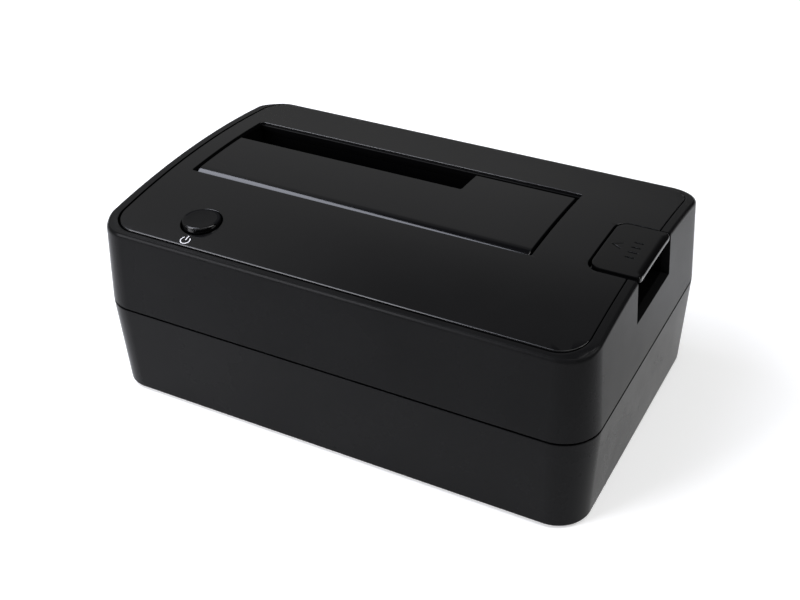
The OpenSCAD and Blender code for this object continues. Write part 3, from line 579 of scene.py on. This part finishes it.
# ------------------------------------------------------------------ lower shell
def base_shell():
    s = Shape()
    body = outline(-HX, HX, -HY, HY, RC)
    outer, inner = [], []
    for px, py, nx, ny in body:
        def at(o, z):
            return s.pt(px + nx * o, py + ny * o, z)

        def wall(z):
            return -LL * (ZS - z)

        z1, re, rb = ZS - 0.42, 0.2, 0.35
        top = at(-1.45, z1)
        o = [top]
        oc = wall(z1 - re) - re
        o += [at(oc + re * math.cos(a), z1 - re + re * math.sin(a)) for a in (math.radians(90 - 22.5 * k) for k in range(5))]
        o += [at(wall(z), z) for z in (24.0, 18.0, 12.0, 7.0)]
        oc = wall(ZB + rb) - rb
        o += [at(oc + rb * math.cos(a), ZB + rb - rb * math.sin(a)) for a in (math.radians(12.857 * k) for k in range(8))]
        outer.append(o)
        inner.append([top, at(-1.45, ZS + 1.8), at(-WALL, ZS + 1.8), at(wall(15) - WALL, 15), at(wall(ZB + 2.5) - WALL, ZB + 2.5)])
    for cols in (outer, inner):
        for k in range(len(cols[0]) - 1):
            s.strip([c[k] for c in cols], [c[k + 1] for c in cols])

    def named(cols):
        return [(*s.v[c[-1]][:2], c[-1]) for c in cols]

    low, floor = [named(outer)], [named(inner)]
    for x, y in COLUMNS:
        rings = []
        for r, z in ((4.2, ZB + 2.5), (4.2, ZS + 0.2), (1.5, ZS + 0.2), (1.5, 18.0), (3.1, 18.0), (3.1, ZB + 0.35), (3.45, ZB)):
            rings.append([s.pt(px, py, z) for px, py in circle(x, y, r, 40)])
        for a, b in zip(rings, rings[1:]):
            s.strip(a, b)
        floor.append([(*s.v[i][:2], i) for i in rings[0]])
        low.append([(*s.v[i][:2], i) for i in rings[-1]])
    for x, y in FEET:
        a = [s.pt(px, py, ZB) for px, py in circle(x, y, 6.2, 56)]
        b = [s.pt(px, py, ZB + 0.8) for px, py in circle(x, y, 6.2, 56)]
        s.strip(a, b)
        s.face(b)
        low.append([(*s.v[i][:2], i) for i in a])
    rect = rounded([(-30, -16, 3), (30, -16, 3), (30, 16, 3), (-30, 16, 3)])
    a = [s.pt(x, y, ZB) for x, y in rect]
    b = [s.pt(x, y, ZB + 0.3) for x, y in offset(rect, 0.3)]
    s.strip(a, b)
    s.face(b)
    low.append([(*s.v[i][:2], i) for i in a])
    fill(s, low)
    fill(s, floor)
    ob = make("base_case", s, "housing", SHELL, ("base_shell",))
    # port openings with a small lead-in
    cut = Shape()
    usb = rounded([(5.5, 9.3, 0.9), (18.5, 9.3, 0.9), (18.5, 20.9, 0.9), (5.5, 20.9, 0.9)])
    for loop in (usb, circle(34.0, 15.4, 4.6, 56)):
        rings = []
        for y, grow in ((41.0, 0.0), (45.1, 0.0), (45.8, 0.7), (48.0, 0.7)):
            rings.append([cut.pt(x, y, z) for x, z in offset(loop, -grow)])
        for a, b in zip(rings, rings[1:]):
            cut.strip(a, b)
        cut.face(rings[0])
        cut.face(rings[-1][::-1])
    tool = make("port_cutter", cut, "housing", SHELL)
    for o in (ob, tool):
        o.modifiers.clear()
    mod = ob.modifiers.new("ports", "BOOLEAN")
    mod.operation, mod.solver, mod.object = "DIFFERENCE", "EXACT", tool
    bpy.context.view_layer.update()
    done = bpy.data.meshes.new_from_object(ob.evaluated_get(bpy.context.evaluated_depsgraph_get()))
    ob.modifiers.clear()
    old, ob.data = ob.data, done
    ob.data.name = "base_case"
    bpy.data.meshes.remove(old)
    bpy.data.objects.remove(tool)
    finish_mesh(ob, 38)
    # painted shade: the lip at the parting line takes the near-black plastic so the seam reads dark
    ob.data.materials.append(SHADE_BLACK)
    for f in ob.data.polygons:
        if f.center.z / MM > ZS - 0.43:
            f.material_index = 1
    return ob


# ------------------------------------------------------------------ inset panel
def panel_loop(r_in=3.8):
    rows = [y * 2.5 for y in range(-17, 18)]
    return rounded([
        (-PX + 0.55, PY0 + 0.3, PR), (PX + 0.27, PY0 + 0.3, PR), (PX + 0.27, CUT0, 0.5), (CUTX, CUT0, r_in), (CUTX, CUT1, r_in), (PX + 0.27, CUT1, 0.5),
        (PX + 0.27, PY1, PR), (-PX + 0.55, PY1, PR)], rows=rows)


def top_panel():
    s = Shape()
    slot = rounded([(SLOT[0] + 0.25, SLOT[3], 1.5), (SLOT[1], SLOT[3], 0.6), (SLOT[1], SLOT[2], 0.6), (SLOT[0] + 0.25, SLOT[2], 0.6)], rows=[y * 2.5 for y in range(-17, 18)])
    grid = [(gx, gy * 2.5) for gx in range(-65, 68, 5) for gy in range(-16, 18)]

    def edge(u, v):
        if -63 < u < 44 and -12.5 < v < 25:
            return 0.2 if v > 24 else 0.16
        if math.hypot(u - BTN[0], v - BTN[1]) < 7:
            return 0.14
        return lerp(0.24, 0.14, max(0.0, min(1.0, (v - PY0 - 1.0) / 3.0)))

    plate(s, [panel_loop(), slot, circle(*BTN, CAP_R + 0.5, 64, True)], lambda x, y, d: (x, y, arch(y) - d), 1.2, edge, 0.0, grid=grid, clear=0.9)
    return make("cover_panel", s, "housing", PANEL, ("top_panel",))


# ------------------------------------------------------------------ flap
def slot_flap():
    s = Shape()
    rf = R - 0.25
    phi0 = math.asin(FLAP_Y / rf)
    zc = ZT - R
    roll_y = FLAP_Y - ROLL * math.sin(phi0)
    roll_z = zc + rf * math.cos(phi0) - ROLL * math.cos(phi0)

    def place(x, q, d):
        if q >= 0:
            a = phi0 + q / rf
            return (x, (rf - d) * math.sin(a), zc + (rf - d) * math.cos(a))
        a = phi0 + q / ROLL
        return (x, roll_y + (ROLL - d) * math.sin(a), roll_z + (ROLL - d) * math.cos(a))

    def arc(y):
        return rf * (math.asin(y / rf) - phi0)

    q0, qn, q1 = -ROLL * math.radians(125), arc(NOTCH_Y), arc(FLAP_Y1)
    fine = [q0 + k * 0.4 for k in range(1, int(-q0 / 0.4) + 1)]
    rows = fine + [0.6, 1.4, 2.4] + [2.4 + 2.2 * k for k in range(1, 13)]
    cols = [FLAP_X0 + 5.1 * k for k in range(1, 20)]
    loop = rounded([
        (FLAP_X0, q0, 0.4), (FLAP_X1, q0, 0.4), (FLAP_X1, q1, 0.3), (NOTCH_X, q1, 0.3), (NOTCH_X, qn, 0.6), (FLAP_X0, qn, 0.3)],
        rows=rows, cols=cols)
    grid = [(x, q) for x in cols for q in rows]
    plate(s, [loop], place, 1.95, 0.26, 0.26, n=5, grid=grid, clear=0.3)
    for x0, x1 in ((FLAP_X0 + 0.02, FLAP_X0 + 2.5), (-11, -9), (-1, 1), (FLAP_X1 - 2.5, FLAP_X1 - 0.02)):
        revolve(s, [(1.05, x0 + 0.2), (1.25, x0), (4.2, x0), (4.55, x0 + 0.35), (4.55, x1 - 0.35), (4.2, x1), (1.25, x1), (1.05, x1 - 0.2), (1.05, x0 + 0.2)],
                along_x(FLAP_Y, FLAP_Z), 48)
    box(s, FLAP_X0 + 1.4, NOTCH_X - 1.2, NOTCH_Y - 2.2, NOTCH_Y - 1, FLAP_Z + 0.6, arch(NOTCH_Y) - 1.3)
    box(s, NOTCH_X + 1, FLAP_X1 - 1.2, FLAP_Y1 - 2.2, FLAP_Y1 - 1, FLAP_Z + 0.2, arch(FLAP_Y1) - 1.3)
    box(s, NOTCH_X + 1, NOTCH_X + 2.2, 0, FLAP_Y1 - 2.3, FLAP_Z + 1, arch(FLAP_Y1) - 1.3)
    return make("drive_flap", s, "flap", FLAP, ("slot_flap",))


# ------------------------------------------------------------------ power button and its mark
def power_button():
    s = Shape()
    top = arch(BTN[1]) + 1.1
    prof = [(0, 45.5), (2, 45.5), (2, 48.8), (6.0, 48.8), (6.2, 49.0), (6.2, 49.8), (6.0, 50), (CAP_R, 50), (CAP_R, top - 2.0), (CAP_R - 0.02, top - 0.9)]
    prof += [(CAP_R - 0.44 + 0.42 * math.cos(a), top - 0.42 + 0.42 * math.sin(a)) for a in (math.radians(10 * k) for k in range(10))]
    prof += [(4.3, top - 0.01), (3.8, top - 0.04), (3.0, top - 0.09), (2.0, top - 0.12), (1.0, top - 0.13), (0, top - 0.135)]
    revolve(s, prof, upright(*BTN), 96)
    ob = make("power_cap", s, "button", CAP, ("power_button",), sharp=45)
    ob.data.materials.append(CAPTOP)
    ob.data.materials.append(CAP_BACK_SHADE)
    for f in ob.data.polygons:
        if f.center.z / MM > top - 0.8 and f.normal.z > 0.96:
            f.material_index = 1
        x, y, z = f.center / MM
        # painted shade: the back half of the cap's rounded edge takes the dull copy, which hides its highlight
        if z > top - 1.2 and y > BTN[1] - 0.6 and math.hypot(x - BTN[0], y - BTN[1]) > 4.2:
            f.material_index = 2
    return ob


def power_mark():
    s = Shape()
    r, w = 1.32, 0.13
    a0, a1 = math.radians(90 + 40), math.radians(450 - 40)
    outer = [(SYM[0] + (r + w) * math.cos(lerp(a0, a1, k / 48)), SYM[1] + (r + w) * math.sin(lerp(a0, a1, k / 48))) for k in range(49)]
    inner = [(SYM[0] + (r - w) * math.cos(lerp(a1, a0, k / 48)), SYM[1] + (r - w) * math.sin(lerp(a1, a0, k / 48))) for k in range(49)]
    bar = rounded([(SYM[0] - w, SYM[1] + 0.1, 0.05), (SYM[0] + w, SYM[1] + 0.1, 0.05), (SYM[0] + w, SYM[1] + 1.8, 0.05), (SYM[0] - w, SYM[1] + 1.8, 0.05)], step=0.5)
    for loop in (outer + inner, bar):
        plate(s, [loop], lambda x, y, d: (x, y, arch(y) + 0.02 - d), 0.05, 0.0, 0.0)
    return make("power_mark", s, "housing", INK)


# ------------------------------------------------------------------ springs
def wire(s, path, r, n=10):
    """A round wire along points, closed at both ends."""
    rings, u = [], Vector((0.31, 0.52, 0.79))
    for k, p in enumerate(path):
        t = (Vector(path[min(k + 1, len(path) - 1)]) - Vector(path[max(k - 1, 0)])).normalized()
        u = (u - t * u.dot(t)).normalized()
        v = t.cross(u)
        ring = [Vector(p) + (u * math.cos(2 * math.pi * i / n) + v * math.sin(2 * math.pi * i / n)) * r for i in range(n)]
        rings.append([s.pt(*q) for q in ring])
    for a, b in zip(rings, rings[1:]):
        s.strip(a, b)
    s.face(rings[0][::-1])
    s.face(rings[-1])


def springs():
    # the flap's spring is two pieces: its upper arm turns with the flap and slides along the first turn of the coil
    fy, r, x0, x1 = -8.0, 1.75, -8.2, -1.8
    fz = arch(fy) - 0.25 - 4.8

    def turn(deg):
        a = math.radians(90 + deg)
        return (lerp(x0, x1, deg / 1890), fy + r * math.cos(a), fz + r * math.sin(a))

    s = Shape()
    wire(s, [(x0, fy + 11, fz + 2.1), (x0, fy + 7, fz + 1.9), (x0, fy + 3, fz + r)] + [turn(9 * k) for k in range(13)], 0.33)
    make("flap_spring_arm", s, "flap", SPRING, ("flap_spring",), sharp=60)
    s = Shape()
    wire(s, [turn(18 + 9 * k) for k in range(209)]
         + [(x1, fy - r, fz - 3), (x1, fy - r - 0.9, fz - 7), (x1, fy - r - 2.6, fz - 12)], 0.35)
    make("flap_spring_coil", s, "housing", SPRING, ("flap_spring",), sharp=60)
    s = Shape()
    wire(s, [(BTN[0] + 1.7 * math.cos(math.radians(12 * k)), BTN[1] + 1.7 * math.sin(math.radians(12 * k)), 40.15 + 1.4 * k / 120)
             for k in range(121)], 0.19)
    coil = make("switch_coil", s, "housing", SPRING, ("switch_spring",), sharp=60)
    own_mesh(coil)


# ------------------------------------------------------------------ eject lever
def eject_lever():
    s = Shape()
    x0, x1, y0, y1 = TAB
    rows = [y * 2.0 for y in range(-8, 9)]
    front = y0 + 0.8
    nose = [front + 0.3 * k for k in range(4, 9)] + [y1 - 0.3 * k for k in range(4, 9)]
    loop = rounded([(x0, front, 3.4), (x1, front, 1.25), (x1, y1, 1.25), (x0, y1, 3.4)], rows=sorted(rows + nose), step=1.0)

    def edge(u, v):
        k = max(0.0, min(1.0, (u - x1 + 1.25) / 1.25))
        inner = min(v - front, y1 - v) - 1.25
        return lerp(0.3, 1.15, k) + 0.85 * max(0.0, min(1.0, inner / 1.2)) * (u > x1 - 0.01)

    def under(u, v):
        return lerp(0.2, 0.4, max(0.0, min(1.0, (u - x1 + 1.25) / 1.25)))

    # the sheet is swept 3.1 deep and pressed to 1.7, which makes the nose an ellipse
    def skin(x, y, d):
        return (x, y, arch(y) - 0.5484 * d)

    # sunk marks: a chevron that points inwards and a row of grip grooves
    ax, ay = 59.9, 2.5
    marks = [[(ax, ay), (ax + 2.3, ay + 1.32), (ax + 2.3, ay + 1.74), (ax - 0.62, ay), (ax + 2.3, ay - 1.74), (ax + 2.3, ay - 1.32)]]
    marks += [[(64.6, y), (64.6, y + 0.42), (67.0, y + 0.42), (67.0, y)] for y in (-2.3, 0.2, 2.7, 5.2)]
    holes = [rounded([(a, b, 0.06) for a, b in m], step=0.5) for m in marks]
    area_of = [sum(p[0] * q[1] - q[0] * p[1] for p, q in zip(h, h[1:] + h[:1])) for h in holes]
    holes = [h if k < 0 else h[::-1] for h, k in zip(holes, area_of)]
    grid = [(58.5 + 1.5 * i, y) for i in range(8) for y in rows]

    def mark_edge(u, v):
        return 0.13 if 59 < u < 67.2 and -3 < v < 6.5 else edge(u, v)

    def mark_under(u, v):
        return 0.0 if 59 < u < 67.2 and -3 < v < 6.5 else under(u, v)

    plate(s, [loop] + holes, skin, 3.1, mark_edge, mark_under, n=8, grid=grid, clear=0.35)
    for x2, x3, y2, y3 in ((58.9, 62.6, 0.4, 4.6), (64.3, 67.2, -2.6, 6.0)):
        plate(s, [rounded([(x2, y2, 0.2), (x3, y2, 0.2), (x3, y3, 0.2), (x2, y3, 0.2)], step=1.0)], lambda x, y, d: (x, y, arch(y) - 0.3 - d), 1.3, 0.0, 0.0)
    # ledge along the front side, then skirt, gussets, barrel, arm and lifting bar
    box(s, 60.6, 70.4, y0 + 0.05, front + 0.4, arch(y0) - 1.65, arch(y0) - 0.6)
    box(s, 57.9, 59.7, y0 + 1.6, y1 - 1.6, PIV[1] - 2, arch(y1) - 0.9)
    for y in (front + 0.4, y1 - 1.9):
        prism(s, [(59, PIV[1] - 2), (60.5, PIV[1] - 2), (69, 54.0), (69, arch(14) - 0.9), (59, arch(14) - 0.9)], lambda u, v, h: (u, h, v), y, y + 1.3)
    for h0, h1 in ((y0, 6.4), (11.6, y1)):
        revolve(s, [(1.3, h0 + 0.15), (1.45, h0), (2.4, h0), (2.6, h0 + 0.2), (2.6, h1 - 0.2), (2.4, h1), (1.45, h1), (1.3, h1 - 0.15), (1.3, h0 + 0.15)], along_y(*PIV), 40)
    prism(s, [(PIV[0] - 5.4, PIV[1] - 4), (PIV[0] - 5.4, PIV[1] - 2.7), (PIV[0] - 1.7, PIV[1] - 1), (PIV[0] + 0.4, PIV[1] - 2.3)],
          lambda u, v, h: (u, h, v), 11.6, 13.4)
    box(s, PIV[0] - 5.38, PIV[0] - 3, 10.2, 12, PIV[1] - 3.98, PIV[1] - 2.72)
    prism(s, [(BAR[0] - 0.3, BAR[1] - 0.8), (BAR[0] - 0.3, BAR[1] + 0.8), (PIV[0] - 1.5, PIV[1] + 1.6), (PIV[0], PIV[1] - 2.2)], lambda u, v, h: (u, h, v), -0.4, 3.6)
    rod(s, along_y(*BAR), 0.9, -3.2, 6.4)
    ob = make("eject_tab", s, "lever", TABM, ("eject_lever",))
    # painted shade: the tab's front side and its lower parts take the near-black plastic; only the face and the nose
    # keep the tab plastic
    ob.data.materials.append(SHADE_BLACK)
    for f in ob.data.polygons:
        x, y, z = f.center / MM
        if (f.normal.y < -0.3 and f.normal.x < 0.8 and y < front + 1.3) or (x < 66 and z < 53.4) or y < front - 0.02:
            f.material_index = 1
    return ob


# ------------------------------------------------------------------ feet
def feet():
    s = Shape()
    for x, y in FEET:
        prof = [(0, 0.25), (3.2, 0.25), (3.6, 0.12), (3.9, 0.02), (4.2, 0.0), (5.3, 0.0)]
        prof += [(5.3 + 0.7 * math.sin(a), 0.7 - 0.7 * math.cos(a)) for a in (math.radians(15 * k) for k in range(1, 7))]
        prof += [(6.0, ZB + 0.8), (0, ZB + 0.8)]
        revolve(s, prof, upright(x, y), 64)
    return make("foot_pads", s, "housing", RUBBER, ("rubber_feet",))


upper_shell()
base_shell()
top_panel()
slot_flap()
power_button()
springs()
power_mark()
eject_lever()
feet()


# ------------------------------------------------------------------ stage, light and camera
def floor():
    me = bpy.data.meshes.new("floor")
    h = 4.0
    me.from_pydata([(-h, -h, -1e-4), (h, -h, -1e-4), (h, h, -1e-4), (-h, h, -1e-4)], [], [(0, 1, 2, 3)])
    ob = bpy.data.objects.new("floor", me)
    scene.collection.objects.link(ob)
    mat = moulded("floor_paper", (0.86, 0.86, 0.86), 0.9, spec=0.1, grain=1.2, depth=0.004, tint=0.01, patch=400)
    glow = mat.node_tree.nodes["Principled BSDF"]
    glow.inputs["Emission Color"].default_value = (1, 1, 1, 1)
    glow.inputs["Emission Strength"].default_value = 0.38
    me.materials.append(mat)


def area(name, at, aim, size, radiance, color=(1, 1, 1)):
    li = bpy.data.lights.new(name, "AREA")
    li.shape = "RECTANGLE"
    li.size, li.size_y = size
    li.energy = radiance * math.pi * size[0] * size[1]
    li.color = color
    ob = bpy.data.objects.new(name, li)
    ob.location = at
    ob.rotation_mode = "QUATERNION"
    ob.rotation_quaternion = (Vector(aim) - Vector(at)).to_track_quat("-Z", "Y")
    scene.collection.objects.link(ob)
    return ob


def lights():
    # overhead softbox, left of the object; its slanting edge shows in the flap's rounded front
    li = area("softbox", (-0.304, -0.113, 0.56), (-0.304, -0.113, 0.0), (0.3, 0.55), 5.9, (0.85, 0.88, 1.0))
    li.rotation_quaternion = Quaternion((0, 0, 1), math.radians(45))
    # low front light for the front edges, and two lights that fill the floor and the right side
    area("front", (-0.56, -0.73, 0.42), (-0.56, 0.08, 0.0), (0.57, 0.38), 12.5, (0.95, 0.95, 1.0))
    area("right", (0.95, 0.15, 0.85), (0.3, 0.1, 0.0), (0.6, 0.6), 5.0)
    area("fill", (0.4, -0.2, 1.1), (0.12, -0.05, 0.0), (0.9, 0.9), 1.5)
    w = bpy.data.worlds.new("studio")
    scene.world = w
    w.use_nodes = True
    nt = w.node_tree
    bg = nt.nodes["Background"]
    tc = nt.nodes.new("ShaderNodeTexCoord")
    sep = nt.nodes.new("ShaderNodeSeparateXYZ")
    link(nt, tc.outputs["Generated"], sep.inputs["Vector"])

    def ramp(axis, stops):
        r = nt.nodes.new("ShaderNodeValToRGB")
        el = r.color_ramp.elements
        for k, (at, v) in enumerate(stops):
            e = el[k] if k < 2 else el.new(at)
            e.position, e.color = at, (v, v, v, 1)
        link(nt, axis, r.inputs["Fac"])
        return r.outputs["Color"]

    # an even low band that fades to the right, a soft reflector high on the left, and a dark ceiling
    def times(a, b):
        m = nt.nodes.new("ShaderNodeMix")
        m.data_type, m.blend_type = "RGBA", "MULTIPLY"
        m.inputs["Factor"].default_value = 1.0
        link(nt, a, m.inputs["A"])
        link(nt, b, m.inputs["B"])
        return m.outputs["Result"]

    side = nt.nodes.new("ShaderNodeMath")
    side.operation = "MULTIPLY_ADD"
    side.inputs[1].default_value, side.inputs[2].default_value = -0.5, 0.5
    link(nt, sep.outputs["X"], side.inputs[0])
    left = side.outputs["Value"]
    up = sep.outputs["Z"]
    low = times(
        ramp(up, [(0.0, 0.07), (0.22, 0.18), (0.32, 0.235), (0.5, 0.27), (0.6, 0.28)]),
        ramp(left, [(0.40, 0.1), (0.5, 0.2), (0.61, 0.75), (0.67, 1.0)]))
    high = times(
        ramp(left, [(0.5, 0.08), (0.63, 0.14), (0.69, 0.14), (0.72, 0.17), (0.75, 0.27), (0.8, 0.35)]),
        ramp(up, [(0.80, 1.0), (0.88, 0.05)]))
    mix = nt.nodes.new("ShaderNodeMix")
    mix.data_type = "RGBA"
    link(nt, ramp(up, [(0.57, 0.0), (0.72, 1.0)]), mix.inputs["Factor"])
    link(nt, low, mix.inputs["A"])
    link(nt, high, mix.inputs["B"])
    link(nt, mix.outputs["Result"], bg.inputs["Color"])
    bg.inputs["Strength"].default_value = 1.0


def camera():
    cam = bpy.data.cameras.new("camera")
    cam.sensor_fit = "HORIZONTAL"
    cam.sensor_width = 36.0
    cam.lens = 1227.94 / 800 * 36.0
    cam.shift_x = -1.97 / 800
    cam.shift_y = -0.27 / 800
    cam.clip_start, cam.clip_end = 0.01, 50
    ob = bpy.data.objects.new("camera", cam)
    scene.collection.objects.link(ob)
    v = Vector((2.1252, 0.5146, -0.3004))
    rot = Quaternion(v.normalized(), v.length).to_matrix().transposed() @ Matrix.Diagonal((1, -1, -1))
    ob.matrix_world = Matrix.Translation((0.140008, -0.256995, 0.22305)) @ rot.to_4x4()
    scene.camera = ob


floor()
lights()
camera()
scene.view_settings.view_transform = "Standard"
scene.view_settings.look = "None"
